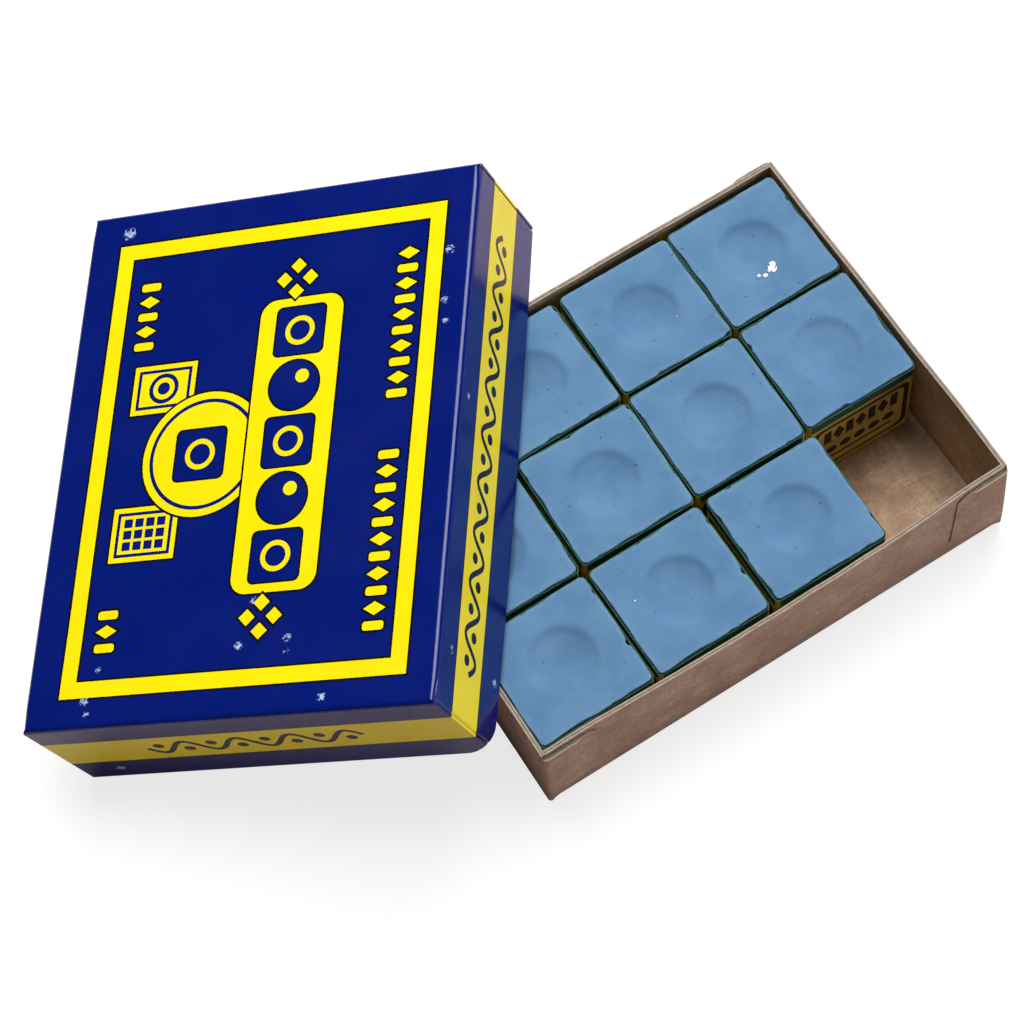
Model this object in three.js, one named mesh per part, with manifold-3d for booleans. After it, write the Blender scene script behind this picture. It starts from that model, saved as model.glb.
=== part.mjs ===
// A boxed set of billiard cue chalk: a folded card tray holding a four by three grid of paper-wrapped
// chalk cubes, with the front right cube taken out, and the printed card lid leaning on the tray.
// Millimetres, +Z up. The origin is the centre of the tray's underside, +X runs along the tray's long
// side and +Y points to its back.

import * as THREE from 'three';
import { mergeVertices } from 'three/addons/utils/BufferGeometryUtils.js';
import Module from 'manifold-3d';

const wasm = await Module();
wasm.setup();

// Card and paper
const BOARD = 0.8;
const FOLD_RADIUS = 1.2;
const PAPER = 0.15;
const GLUE_GAP = 0.05;
const REST_GAP = 0.1;
const LEAN_GAP = 0.3;

// How solids are cut and joined: joined pieces share JOIN, cutters reach CUT_CLEARANCE past what they cut
const JOIN = 0.05;
const CUT_CLEARANCE = 1;
const MERGE_DISTANCE = 1e-4;
const ARC_DIVISIONS = 2;

// Chalk block and the paper wrapped round it
const BLOCK_SIDE = 21.8;
const BLOCK_HEIGHT = 21.7;
const BLOCK_CORNER = 1;
const BLOCK_CHAMFER = 0.4;
const DIMPLE_RADIUS = 6.5;
const DIMPLE_DEPTH = 1.7;
const DIMPLE_RINGS = 3;
const DIMPLE_SIDES = 24;
const LABEL_DROP = 0.4;

// Tray: its length and width leave out the glue ears, which stand proud of the long walls
const TRAY_LENGTH = 94;
const TRAY_WIDTH = 72.2;
const TRAY_HEIGHT = 23.4;

// Glue ear, seen along the tray's wall: distances from the corner, then heights above the underside
const EAR_TOP_REACH = 9;
const EAR_CHAMFER = 1.7;
const EAR_BOTTOM_REACH = 14.2;
const EAR_TOP = 22.4;
const EAR_SHOULDER = 21.2;
const EAR_HEEL = 4.5;
const EAR_FOOT = 1;

// Lid, which drops over the tray and its ears
const LID_LENGTH = 97.8;
const LID_WIDTH = 75.8;
const LID_HEIGHT = 23.9;
const LID_EAR_REACH = 14;
const LID_EAR_MARGIN = 1.2;

// Where the lid leans: the middle of the long rim that stands on the table, and its turn about +Z
const LID_FOOT = new THREE.Vector3(-82.4, 50.8, 0);
const LID_TURN = THREE.MathUtils.degToRad(-35.9);

// The cubes stand loosely in the tray: each one's x, and its turn in degrees. The front row lacks its
// fourth cube.
const ROWS = [
  { name: 'front', y: -23.3, cubes: [[-34.7, 0.4], [-11.7, 0.5], [11.9, -0.6]] },
  { name: 'middle', y: 0, cubes: [[-34.6, -0.5], [-11.4, -1], [11.3, -0.8], [34.1, -0.7]] },
  { name: 'back', y: 23, cubes: [[-34.6, 0], [-11.5, 0.5], [11.7, -0.8], [34.3, -0.3]] },
];

// ---------------------------------------------------------------- materials

function chalkMaterial() {
  return new THREE.MeshStandardMaterial({ color: 0x7396c0, roughness: 0.95, metalness: 0 });
}

function labelMaterial() {
  return new THREE.MeshStandardMaterial({ color: 0x1f5a45, roughness: 0.7, metalness: 0 });
}

function trayMaterial() {
  return new THREE.MeshStandardMaterial({ color: 0xa08a72, roughness: 0.9, metalness: 0 });
}

function lidMaterial() {
  return new THREE.MeshStandardMaterial({ color: 0x0a2a86, roughness: 0.35, metalness: 0 });
}

// ---------------------------------------------------------------- solids

function toSolid(geometry) {
  const bare = geometry.clone();
  bare.deleteAttribute('normal');
  bare.deleteAttribute('uv');
  const merged = mergeVertices(bare, MERGE_DISTANCE);
  const mesh = new wasm.Mesh({
    numProp: 3,
    vertProperties: Float32Array.from(merged.attributes.position.array),
    triVerts: Uint32Array.from(merged.index.array),
  });
  return new wasm.Manifold(mesh);
}

function toGeometry(solid) {
  const mesh = solid.getMesh();
  const geometry = new THREE.BufferGeometry();
  geometry.setAttribute('position', new THREE.BufferAttribute(mesh.vertProperties, 3));
  geometry.setIndex(new THREE.BufferAttribute(mesh.triVerts, 1));
  geometry.computeVertexNormals();
  return geometry;
}

function boxSolid(low, high) {
  const size = new THREE.Vector3().subVectors(high, low);
  const centre = new THREE.Vector3().addVectors(low, high).multiplyScalar(0.5);
  const box = new THREE.BoxGeometry(size.x, size.y, size.z);
  return toSolid(box.translate(centre.x, centre.y, centre.z));
}

// A square outline with round corners
function roundedSquare(side, radius) {
  const half = side / 2;
  const straight = half - radius;
  const shape = new THREE.Shape();
  shape.moveTo(half, -straight);
  shape.absarc(straight, straight, radius, 0, 0.5 * Math.PI);
  shape.absarc(-straight, straight, radius, 0.5 * Math.PI, Math.PI);
  shape.absarc(-straight, -straight, radius, Math.PI, 1.5 * Math.PI);
  shape.absarc(straight, -straight, radius, 1.5 * Math.PI, 2 * Math.PI);
  return shape;
}

function prism(shape, low, high) {
  const options = { depth: high - low, bevelEnabled: false, curveSegments: ARC_DIVISIONS };
  return new THREE.ExtrudeGeometry(shape, options).translate(0, 0, low);
}

// ---------------------------------------------------------------- chalk block

// The lens pressed out of the block's top, with its rim carried straight up clear of the face
function dimpleCutter() {
  const sphere = (DIMPLE_RADIUS ** 2 + DIMPLE_DEPTH ** 2) / (2 * DIMPLE_DEPTH);
  const reach = Math.asin(DIMPLE_RADIUS / sphere);
  const profile = [];
  for (let ring = 0; ring <= DIMPLE_RINGS; ring += 1) {
    const angle = (reach * ring) / DIMPLE_RINGS;
    const height = sphere * (1 - Math.cos(angle)) - DIMPLE_DEPTH;
    profile.push(new THREE.Vector2(sphere * Math.sin(angle), height));
  }
  profile.push(new THREE.Vector2(DIMPLE_RADIUS, CUT_CLEARANCE));
  profile.push(new THREE.Vector2(0, CUT_CLEARANCE));
  const lens = new THREE.LatheGeometry(profile, DIMPLE_SIDES).rotateX(0.5 * Math.PI);
  return toSolid(lens.translate(0, 0, BLOCK_HEIGHT));
}

function blockGeometry() {
  const outline = roundedSquare(BLOCK_SIDE - 2 * BLOCK_CHAMFER, BLOCK_CORNER - BLOCK_CHAMFER);
  const body = new THREE.ExtrudeGeometry(outline, {
    depth: BLOCK_HEIGHT - 2 * BLOCK_CHAMFER,
    bevelThickness: BLOCK_CHAMFER,
    bevelSize: BLOCK_CHAMFER,
    bevelSegments: 1,
    curveSegments: ARC_DIVISIONS,
  });
  const block = toSolid(body.translate(0, 0, BLOCK_CHAMFER));
  return toGeometry(block.subtract(dimpleCutter()));
}

// ---------------------------------------------------------------- paper label

// One sheet wrapped under the block and up its four sides, open at the top
function labelGeometry() {
  const height = PAPER + GLUE_GAP + BLOCK_HEIGHT - LABEL_DROP;
  const innerSide = BLOCK_SIDE + 2 * GLUE_GAP;
  const innerCorner = BLOCK_CORNER + GLUE_GAP;
  const outside = toSolid(prism(roundedSquare(innerSide + 2 * PAPER, innerCorner + PAPER), 0, height));
  const pocket = toSolid(prism(roundedSquare(innerSide, innerCorner), PAPER, height + CUT_CLEARANCE));
  return toGeometry(outside.subtract(pocket));
}

// ---------------------------------------------------------------- folded card

// Section across a panel and the two walls folded up from it
function channelOutline(width, height) {
  const outer = width / 2;
  const inner = outer - BOARD;
  const bend = outer - FOLD_RADIUS;
  const innerRadius = FOLD_RADIUS - BOARD;
  const shape = new THREE.Shape();
  shape.moveTo(-outer, height);
  shape.lineTo(-outer, FOLD_RADIUS);
  shape.absarc(-bend, FOLD_RADIUS, FOLD_RADIUS, Math.PI, 1.5 * Math.PI);
  shape.absarc(bend, FOLD_RADIUS, FOLD_RADIUS, 1.5 * Math.PI, 2 * Math.PI);
  shape.lineTo(outer, height);
  shape.lineTo(inner, height);
  shape.absarc(bend, FOLD_RADIUS, innerRadius, 0, -0.5 * Math.PI, true);
  shape.absarc(-bend, FOLD_RADIUS, innerRadius, -0.5 * Math.PI, -Math.PI, true);
  shape.lineTo(-inner, height);
  return shape;
}

function channelSolid(width, height, run, across, along) {
  const geometry = prism(channelOutline(width, height), -run / 2, run / 2);
  const up = new THREE.Vector3(0, 0, 1);
  return toSolid(geometry.applyMatrix4(new THREE.Matrix4().makeBasis(across, up, along)));
}

// A panel with all four walls folded up: the end walls run the full width and the long walls butt on them
function openBox(length, width, height) {
  const xAxis = new THREE.Vector3(1, 0, 0);
  const yAxis = new THREE.Vector3(0, 1, 0);
  const longWalls = channelSolid(width, height, length - 2 * (BOARD - JOIN), yAxis, xAxis);
  const endWalls = channelSolid(length, height, width, xAxis.clone().negate(), yAxis);
  return longWalls.add(endWalls);
}

// The plan of one ear: round the corner from the end wall, then along the outside of the long wall
function earPlan() {
  const end = TRAY_LENGTH / 2;
  const side = TRAY_WIDTH / 2;
  const tip = end - EAR_BOTTOM_REACH - CUT_CLEARANCE;
  const shape = new THREE.Shape();
  shape.moveTo(end, side - BOARD);
  shape.lineTo(end, side + BOARD - FOLD_RADIUS);
  shape.absarc(end - FOLD_RADIUS, side + BOARD - FOLD_RADIUS, FOLD_RADIUS, 0, 0.5 * Math.PI);
  shape.lineTo(tip, side + BOARD);
  shape.lineTo(tip, side - JOIN);
  shape.lineTo(end - BOARD + JOIN, side - JOIN);
  shape.lineTo(end - BOARD + JOIN, side - BOARD);
  return shape;
}

// The ear's tapered outline, seen square on to the long wall
function earOutline() {
  const end = TRAY_LENGTH / 2;
  const shape = new THREE.Shape();
  shape.moveTo(end + CUT_CLEARANCE, EAR_FOOT);
  shape.lineTo(end + CUT_CLEARANCE, EAR_TOP);
  shape.lineTo(end - EAR_TOP_REACH, EAR_TOP);
  shape.lineTo(end - EAR_TOP_REACH - EAR_CHAMFER, EAR_SHOULDER);
  shape.lineTo(end - EAR_BOTTOM_REACH, EAR_HEEL);
  shape.lineTo(end - FOLD_RADIUS, EAR_FOOT);
  return shape;
}

// The back right ear, which the other three copy
function trayEar() {
  const wrap = toSolid(prism(earPlan(), 0, TRAY_HEIGHT));
  const blank = prism(earOutline(), -TRAY_WIDTH, 0).rotateX(0.5 * Math.PI);
  return wrap.intersect(toSolid(blank));
}

function trayGeometry() {
  let tray = openBox(TRAY_LENGTH, TRAY_WIDTH, TRAY_HEIGHT);
  const ear = trayEar();
  const sides = [[0, 0], [1, 0], [0, 1], [1, 1]];
  for (const [left, front] of sides) {
    const placed = left === front ? ear.rotate([0, 0, 180 * left]) : ear.mirror([left, front, 0]);
    tray = tray.add(placed);
  }
  return toGeometry(tray);
}

// The lid is folded like the tray, with its glue ears hidden inside the end walls
function lidGeometry() {
  let lid = openBox(LID_LENGTH, LID_WIDTH, LID_HEIGHT);
  const end = LID_LENGTH / 2 - BOARD;
  const side = LID_WIDTH / 2 - BOARD;
  for (const x of [-1, 1]) {
    for (const y of [-1, 1]) {
      const xs = [x * (end - BOARD), x * (end + JOIN)];
      const ys = [y * (side - LID_EAR_REACH), y * (side + JOIN)];
      const low = new THREE.Vector3(Math.min(...xs), Math.min(...ys), FOLD_RADIUS + LID_EAR_MARGIN);
      const high = new THREE.Vector3(Math.max(...xs), Math.max(...ys), LID_HEIGHT - LID_EAR_MARGIN);
      lid = lid.add(boxSolid(low, high));
    }
  }
  return toGeometry(lid);
}

// ---------------------------------------------------------------- assembly

function named(name, geometry, material) {
  const mesh = new THREE.Mesh(geometry, material);
  mesh.name = name;
  return mesh;
}

function placedTray() {
  return named('tray', trayGeometry(), trayMaterial());
}

// The lid stands on one long rim and leans its other long rim across the tray's left and back walls.
// It turns about the rim on the table, which is the group's own Y axis.
function placedLid() {
  const lean = Math.asin((TRAY_HEIGHT + LEAN_GAP) / (LID_WIDTH - BOARD));
  const lid = named('lid', lidGeometry(), lidMaterial());
  lid.rotation.set(Math.PI, 0, -0.5 * Math.PI);
  lid.position.set(LID_WIDTH / 2, 0, LID_HEIGHT);
  const leaning = new THREE.Group();
  leaning.position.copy(LID_FOOT);
  leaning.rotation.set(0, -lean, LID_TURN, 'ZYX');
  leaning.add(lid);
  return leaning;
}

function placedCube(place, x, y, turn) {
  const cube = new THREE.Group();
  const block = named(`chalk_${place}`, blockGeometry(), chalkMaterial());
  block.position.z = PAPER + GLUE_GAP;
  cube.add(block);
  cube.add(named(`label_${place}`, labelGeometry(), labelMaterial()));
  cube.position.set(x, y, BOARD + REST_GAP);
  cube.rotation.z = THREE.MathUtils.degToRad(turn);
  return cube;
}

const chalkSet = new THREE.Group();
chalkSet.add(placedTray());
chalkSet.add(placedLid());
for (const row of ROWS) {
  row.cubes.forEach(([x, turn], index) => {
    chalkSet.add(placedCube(`${row.name}_${index + 1}`, x, row.y, turn));
  });
}

export default chalkSet;
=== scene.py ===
"""A boxed set of billiard cue chalk: a folded card tray of paper-wrapped chalk cubes, with one place empty,
and its printed card lid leaning on the tray. The looks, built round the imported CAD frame.

The frame is in metres. Cartons, labels and blocks are laid out in millimetres in their own axes, and
node_place works out from each CAD node the matrix that carries its piece into the frame.
"""

import math
import random

import bpy
import numpy as np
from mathutils import Matrix, Vector, noise
from mathutils.geometry import delaunay_2d_cdt


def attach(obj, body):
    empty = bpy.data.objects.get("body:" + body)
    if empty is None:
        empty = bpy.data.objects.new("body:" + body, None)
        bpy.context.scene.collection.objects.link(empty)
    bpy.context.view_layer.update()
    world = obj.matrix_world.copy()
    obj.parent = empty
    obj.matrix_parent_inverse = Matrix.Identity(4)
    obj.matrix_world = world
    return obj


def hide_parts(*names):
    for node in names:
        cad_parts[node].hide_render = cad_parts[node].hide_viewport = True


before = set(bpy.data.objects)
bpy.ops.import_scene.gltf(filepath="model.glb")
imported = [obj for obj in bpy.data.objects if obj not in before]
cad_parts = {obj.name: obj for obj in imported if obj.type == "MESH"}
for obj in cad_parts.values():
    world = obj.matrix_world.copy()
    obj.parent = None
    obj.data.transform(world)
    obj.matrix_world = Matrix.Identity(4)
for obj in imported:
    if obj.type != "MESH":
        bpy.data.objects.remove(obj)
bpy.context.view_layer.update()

MM = 0.001

# ------------------------------------------------------------------ sizes, in millimetres

# Thickness of the board
TRAY_BOARD = 0.8
LID_BOARD = 0.5
# A fold's outer radius, the length of blank it takes up and the steps it turns in
FOLD = 0.95
BEND = FOLD * math.pi / 2
FOLD_STEPS = 5
# An extra line of mesh lies this far to either side of a fold, so that the flat parts stay flat
GUARD = 0.35
# How nearly two folds meet at a corner. At 1 they would touch
MITRE = 0.96
# A hair's breadth kept between board and board, and between the lid and its CAD box
SLACK = 0.05
# Bending takes hold of a wall from WALL_START inside the box's side, and fully from WALL_FULL
WALL_START = 2.5
WALL_FULL = 0.9
# Spacing of a blank's mesh inside its outline and along it
GRID = 4.0
EDGE_STEP = 1.0

# Print on the lid: its border, the bands on its walls (heights below the top), and the dark outline round
# every yellow shape and round every shape knocked out of the yellow
BORDER = (-31.4, -43.4, 32.3, 42.1)
BORDER_WIDTH = 2.9
BAND_TOP = 6.6
BAND_BOTTOM = 16.4
OUTLINE = 0.4
KNOCKED_LINE = 0.35

# Label and block: SWELL is how far each side stands outside its CAD solid, which closes the gaps between
# cubes, and TOP_DROP is how far the block's top lies below the CAD one
PAPER = 0.15
SWELL = 0.12
TOP_DROP = 0.06
LABEL_CORNER = 1.2
GREEN_HEAD = 2.6
LABEL_GRID = 3.0
CORNER_STEPS = 4
BLOCK_CORNER = 1.0
BLOCK_EDGE = 0.2
DIMPLE_RADIUS = 6.75
DIMPLE_DEPTH = 1.7

# Two face normals count as parallel when their dot product is above this
PARALLEL = 0.999

# ------------------------------------------------------------------ colours


def srgb(red, green, blue):
    """A colour given as 0 to 255, as the linear RGBA that shaders take."""
    channels = [c / 255 for c in (red, green, blue)]
    linear = [c / 12.92 if c <= 0.04045 else ((c + 0.055) / 1.055) ** 2.4 for c in channels]
    return (*linear, 1.0)


def darker(colour, share):
    return tuple(c * share for c in colour[:3]) + (1.0,)


class Paint:
    """One material's node tree. Its patterns are placed by the piece's own coordinates, in metres."""

    def __init__(self, name):
        self.material = bpy.data.materials.new(name)
        self.material.use_nodes = True
        self.tree = self.material.node_tree
        self.shader = self.tree.nodes["Principled BSDF"]
        self.place = self.node("ShaderNodeTexCoord").outputs["Object"]

    def node(self, kind, inputs=None, **settings):
        node = self.tree.nodes.new(kind)
        for key, value in settings.items():
            setattr(node, key, value)
        for key, value in (inputs or {}).items():
            self.put(value, node.inputs[key])
        return node

    def put(self, value, socket):
        if isinstance(value, bpy.types.NodeSocket):
            self.tree.links.new(value, socket)
        else:
            socket.default_value = value

    def set(self, **sockets):
        for name, value in sockets.items():
            self.put(value, self.shader.inputs[name.replace("_", " ")])

    def noise(self, size, detail=3.0, rough=0.5, stretch=(1, 1, 1), shift=0.0):
        """Noise from 0 to 1 with features of the given size in millimetres."""
        moved = self.node(
            "ShaderNodeMapping",
            {"Vector": self.place, "Scale": stretch, "Location": (shift, shift / 2, -shift)},
        )
        texture = self.node(
            "ShaderNodeTexNoise",
            {"Vector": moved.outputs[0], "Scale": 1 / (size * MM), "Detail": detail, "Roughness": rough},
        )
        return texture.outputs["Fac"]

    def between(self, value, low, high, to_low=0.0, to_high=1.0):
        """Rises smoothly from to_low to to_high as value goes from low to high."""
        inputs = {
            "Value": value, "From Min": low, "From Max": high, "To Min": to_low, "To Max": to_high,
        }
        return self.node("ShaderNodeMapRange", inputs, interpolation_type="SMOOTHSTEP").outputs[0]

    def blend(self, factor, first, second):
        node = self.node("ShaderNodeMix", data_type="RGBA")
        for index, value in ((0, factor), (6, first), (7, second)):
            self.put(value, node.inputs[index])
        return node.outputs[2]

    def calc(self, operation, first, second):
        return self.node("ShaderNodeMath", {0: first, 1: second}, operation=operation).outputs[0]

    def attribute(self, name):
        return self.node("ShaderNodeAttribute", attribute_name=name).outputs["Fac"]

    def bump(self, height, distance, under=None):
        """Raises the surface by height times distance, in millimetres."""
        inputs = {"Height": height, "Distance": distance * MM, "Strength": 1.0}
        if under is not None:
            inputs["Normal"] = under
        return self.node("ShaderNodeBump", inputs).outputs["Normal"]


def ink(name, colour, gloss):
    """Varnished print on smooth board. Where the wear attribute is high, the pale board shows through."""
    paint = Paint(name)
    tone = paint.blend(paint.noise(9, 4), darker(colour, 0.8), colour)
    fibre = paint.noise(0.5, 4, 0.6)
    rub = paint.calc("MULTIPLY", paint.attribute("wear_and_painted_light"), paint.noise(0.7, 5, 0.8, shift=0.3))
    worn_and_edge_lit = paint.between(rub, 0.44, 0.53)
    paint.set(Base_Color=paint.blend(worn_and_edge_lit, tone, srgb(168, 184, 220)))
    matt = paint.between(paint.noise(14, 3), 0.3, 0.7, gloss - 0.03, gloss + 0.06)
    paint.set(Roughness=paint.calc("ADD", matt, paint.calc("MULTIPLY", worn_and_edge_lit, 0.4)))
    swell = paint.bump(paint.noise(2.6, 2), 0.02)
    paint.set(Normal=paint.bump(paint.calc("SUBTRACT", fibre, worn_and_edge_lit), 0.012, swell))
    paint.set(Specular_IOR_Level=0.36)
    return paint.material


def board(name, light, dark, fleck):
    """Uncoated chipboard: mottled grey-brown with short fibres and dark and pale flecks, and painted
    shade that darkens it near folds and corners.
    """
    paint = Paint(name)
    cloud = paint.noise(7, 4, 0.6)
    tone = paint.blend(paint.between(cloud, 0.3, 0.72), dark, light)
    along = paint.noise(0.9, 4, 0.65, stretch=(0.25, 1, 1))
    across = paint.noise(0.9, 4, 0.65, stretch=(1, 0.25, 1), shift=0.7)
    fibre = paint.calc("MULTIPLY", paint.calc("ADD", along, across), 0.5)
    tone = paint.blend(paint.between(fibre, 0.36, 0.66, 0.0, 0.55), tone, fleck)
    dots = paint.noise(0.7, 3, 0.6, shift=0.11)
    tone = paint.blend(paint.between(dots, 0.52, 0.68, 0.0, 0.7), tone, darker(dark, 0.7))
    rust = paint.noise(1.1, 3, 0.6, shift=0.27)
    tone = paint.blend(paint.between(rust, 0.58, 0.7, 0.0, 0.5), tone, srgb(168, 118, 78))
    specks = paint.noise(0.55, 1, 0.5, shift=0.43)
    tone = paint.blend(paint.between(specks, 0.71, 0.77, 0.0, 0.25), tone, srgb(206, 188, 166))
    # Painted shade: where the wear attribute is high, near folds and corners, the board is darkened.
    fold_shade = paint.between(paint.attribute("wear_and_painted_light"), 0.0, 1.0, 0.0, 0.55)
    paint.set(Base_Color=paint.blend(fold_shade, tone, darker(dark, 0.35)))
    paint.set(Roughness=paint.between(fibre, 0.3, 0.7, 0.78, 0.94))
    paint.set(Specular_IOR_Level=0.3)
    nap = paint.bump(fibre, 0.09)
    paint.set(Normal=paint.bump(dots, 0.03, nap))
    return paint.material


def cut_board(name, pale, line):
    """The cut edge of board: pale torn fibres with the plies showing as dark lines along it."""
    paint = Paint(name)
    torn = paint.noise(0.5, 4, 0.7, stretch=(0.5, 0.5, 2))
    depth = paint.calc("ADD", paint.attribute("depth"), paint.calc("MULTIPLY", torn, 0.22))
    middle = paint.calc("ABSOLUTE", paint.calc("SUBTRACT", depth, 0.61), 0.0)
    ply = paint.between(middle, 0.02, 0.15, 0.75, 0.0)
    tone = paint.blend(paint.between(torn, 0.3, 0.7), pale, darker(pale, 0.72))
    paint.set(Base_Color=paint.blend(ply, tone, line))
    paint.set(Roughness=paint.between(torn, 0.3, 0.7, 0.85, 0.97), Specular_IOR_Level=0.2)
    paint.set(Normal=paint.bump(paint.calc("SUBTRACT", torn, ply), 0.08))
    return paint.material


def chalk(name):
    """Pressed billiard chalk: soft steel blue, powdery, with fine grain, pits and pale dust. Its pits are
    darkened with painted shade, and its top edge is painted paler as a highlight.
    """
    paint = Paint(name)
    tone = paint.blend(paint.between(paint.noise(8, 3), 0.32, 0.68), srgb(80, 116, 153), srgb(90, 125, 161))
    haze = paint.between(paint.noise(3.2, 4, 0.6, shift=0.21), 0.4, 0.75, 0.0, 0.4)
    tone = paint.blend(haze, tone, srgb(94, 133, 161))
    grain = paint.noise(0.35, 4, 0.7)
    tone = paint.blend(paint.between(grain, 0.3, 0.7, 0.12, 0.0), tone, srgb(52, 85, 120))
    # Painted shade: the pits are coloured darker as well as sunk.
    pits = paint.between(paint.noise(1.1, 2, 0.5, shift=0.6), 0.72, 0.78)
    tone = paint.blend(paint.calc("MULTIPLY", pits, 0.5), tone, srgb(48, 74, 106))
    # Painted highlight: the chalk is paler along its top edge, where the wear attribute is high.
    edge = paint.calc("MULTIPLY", paint.attribute("wear_and_painted_light"), paint.between(paint.noise(1.3, 4, 0.7), 0.35, 0.6))
    tone = paint.blend(paint.calc("MULTIPLY", edge, 0.25), tone, srgb(124, 156, 177))
    flake = paint.calc("MULTIPLY", paint.attribute("speck"), paint.noise(0.7, 3, 0.6, shift=0.9))
    white = paint.between(flake, 0.3, 0.36)
    paint.set(Base_Color=paint.blend(white, tone, srgb(236, 243, 246)))
    paint.set(Roughness=paint.between(grain, 0.3, 0.7, 0.88, 0.98), Specular_IOR_Level=0.15)
    powder = paint.bump(grain, 0.035)
    lumps = paint.bump(paint.noise(1.6, 3), 0.03, powder)
    paint.set(Normal=paint.bump(paint.calc("SUBTRACT", white, pits), 0.12, lumps))
    return paint.material


def label_ink(name, colour, worn_colour):
    """Matt print on thin paper, rubbed in places, with its fibres showing."""
    paint = Paint(name)
    fibre = paint.noise(0.45, 4, 0.65)
    tone = paint.blend(paint.noise(3.5, 4, 0.6), darker(colour, 0.62), colour)
    rub = paint.between(paint.noise(1.2, 5, 0.7, shift=0.35), 0.56, 0.7, 0.0, 0.45)
    paint.set(Base_Color=paint.blend(rub, tone, worn_colour))
    paint.set(Roughness=paint.between(fibre, 0.3, 0.7, 0.6, 0.8), Specular_IOR_Level=0.3)
    paint.set(Normal=paint.bump(fibre, 0.02))
    return paint.material


def stage_paint(name, colour, glow):
    """Plain matt paint for a floor or backdrop. With a glow above 0 it shines by itself."""
    paint = Paint(name)
    tone = paint.blend(paint.noise(220, 2), darker(colour, 0.97), colour)
    paint.set(Base_Color=tone, Roughness=0.9, Specular_IOR_Level=0.1)
    paint.set(Emission_Color=(1, 1, 1, 1), Emission_Strength=glow)
    return paint.material


# ------------------------------------------------------------------ flat shapes, in millimetres


def box_path(x0, y0, x1, y1):
    return [(x0, y0), (x1, y0), (x1, y1), (x0, y1)]


def disc_path(x, y, radius, points=36):
    turns = [2 * math.pi * k / points for k in range(points)]
    return [(x + radius * math.cos(t), y + radius * math.sin(t)) for t in turns]


def round_box_path(x0, y0, x1, y1, radius, points=6):
    """A rectangle with round corners."""
    path = []
    corners = ((x1, y0, -1, 1, 3), (x1, y1, -1, -1, 0), (x0, y1, 1, -1, 1), (x0, y0, 1, 1, 2))
    for x, y, sx, sy, quarter in corners:
        for k in range(points + 1):
            turn = (quarter + k / points) * math.pi / 2
            centre_x, centre_y = x + sx * radius, y + sy * radius
            path.append((centre_x + radius * math.cos(turn), centre_y + radius * math.sin(turn)))
    return path


def lozenge_path(x, y, half_x, half_y):
    return [(x + half_x, y), (x, y + half_y), (x - half_x, y), (x, y - half_y)]


def stroke_path(points, width):
    """The outline of a line of the given width along points."""
    left, right = [], []
    for k, (x, y) in enumerate(points):
        x0, y0 = points[max(k - 1, 0)]
        x1, y1 = points[min(k + 1, len(points) - 1)]
        length = math.hypot(x1 - x0, y1 - y0)
        nx, ny = (y0 - y1) / length * width / 2, (x1 - x0) / length * width / 2
        left.append((x + nx, y + ny))
        right.append((x - nx, y - ny))
    return left + right[::-1]


def walked(path, step, closed=True):
    """The same path with its long stretches divided."""
    ends = path[1:] + path[:1] if closed else path[1:]
    out = []
    for (x0, y0), (x1, y1) in zip(path, ends):
        parts = max(1, math.ceil(math.hypot(x1 - x0, y1 - y0) / step))
        out += [(x0 + (x1 - x0) * k / parts, y0 + (y1 - y0) * k / parts) for k in range(parts)]
    return out if closed else out + [path[-1]]


def inside(points, path):
    """Which of the points lie inside the closed path."""
    x, y = points[:, 0], points[:, 1]
    hit = np.zeros(len(points), bool)
    for (x0, y0), (x1, y1) in zip(path, path[1:] + path[:1]):
        if y0 != y1:
            hit ^= ((y0 > y) != (y1 > y)) & (x < (x1 - x0) * (y - y0) / (y1 - y0) + x0)
    return hit


def triangulated(outline, lines, shapes, spacing):
    """Triangles that fill the outline and follow the fold lines and the edges of the printed shapes."""
    points, edges = [], []

    def add(path, closed):
        first, count = len(points), len(path)
        points.extend(path)
        ends = count if closed else count - 1
        edges.extend((first + k, first + (k + 1) % count) for k in range(ends))

    add(walked(outline, EDGE_STEP), True)
    for line in lines:
        add(walked(line, spacing, closed=False), False)
    for shape in shapes:
        add(walked(shape, spacing), True)
    xs, ys = zip(*outline)
    columns = np.arange(min(xs) + spacing / 2, max(xs), spacing)
    rows = np.arange(min(ys) + spacing / 2, max(ys), spacing)
    grid = np.array([(x, y) for x in columns for y in rows])
    points.extend(map(tuple, grid[inside(grid, outline)]))
    done = delaunay_2d_cdt([Vector(p) for p in points], edges, [], 0, 1e-4, False)
    flat = np.array([tuple(v) for v in done[0]])
    faces = np.array(done[2])
    middles = flat[faces].mean(axis=1)
    kept = inside(middles, outline)
    return flat, faces[kept], middles[kept]


# ------------------------------------------------------------------ meshes


def piece(name, verts, faces, slots, materials, attributes, place):
    """A mesh object in the frame from millimetre points in a part's own axes."""
    mesh = bpy.data.meshes.new(name)
    mesh.from_pydata([place @ (Vector(v) * MM) for v in verts], [], [list(f) for f in faces])
    for material in materials:
        mesh.materials.append(material)
    mesh.polygons.foreach_set("material_index", slots)
    for key, values in attributes.items():
        mesh.attributes.new(key, "FLOAT", "POINT").data.foreach_set("value", values)
    mesh.validate()
    mesh.update()
    mesh.shade_smooth()
    mesh.set_sharp_from_angle(angle=math.radians(38))
    obj = bpy.data.objects.new(name, mesh)
    bpy.context.scene.collection.objects.link(obj)
    return obj


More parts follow.
